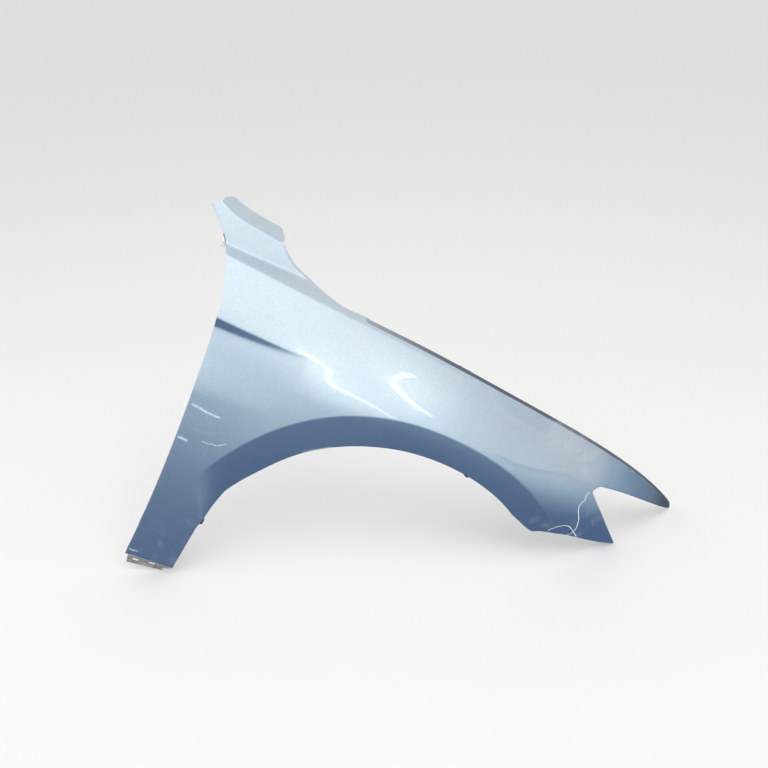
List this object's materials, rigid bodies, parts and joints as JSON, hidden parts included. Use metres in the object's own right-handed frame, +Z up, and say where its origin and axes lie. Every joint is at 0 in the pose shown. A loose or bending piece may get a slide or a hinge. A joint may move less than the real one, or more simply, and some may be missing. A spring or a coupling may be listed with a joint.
{
  "type": "car front fender",
  "caption": "Right-hand front fender of a car: pressed skin with wheel arch, door-side leg, headlamp notch, return flanges and bolt seats.",
  "frame": {"origin": "underside of the second bolt seat from the nose on the hood-side flange, on the flat beside its hole", "axes": "+X towards the nose, +Y inboard (the painted face looks to -Y), +Z up, with the fender standing nose down on its lower corners as in the picture"},
  "size_m": [1.1695, 0.221, 0.75],
  "materials": {
    "metallic_paint": "silver-blue metallic paint under clear coat",
    "bare_sheet": "dull, dirty bare sheet",
    "black_plastic": "moulded, satin",
    "white_plastic": "moulded, satin, slightly yellowed"
  },
  "bodies": {
    "root": {"fender_panel": "metallic_paint", "sill_bracket": "bare_sheet", "liner_clip_rear": "black_plastic", "liner_clip_front": "black_plastic", "bumper_clip_rear": "black_plastic", "bumper_clip_front": "black_plastic", "pillar_clip": "white_plastic"}
  },
  "joints": []
}
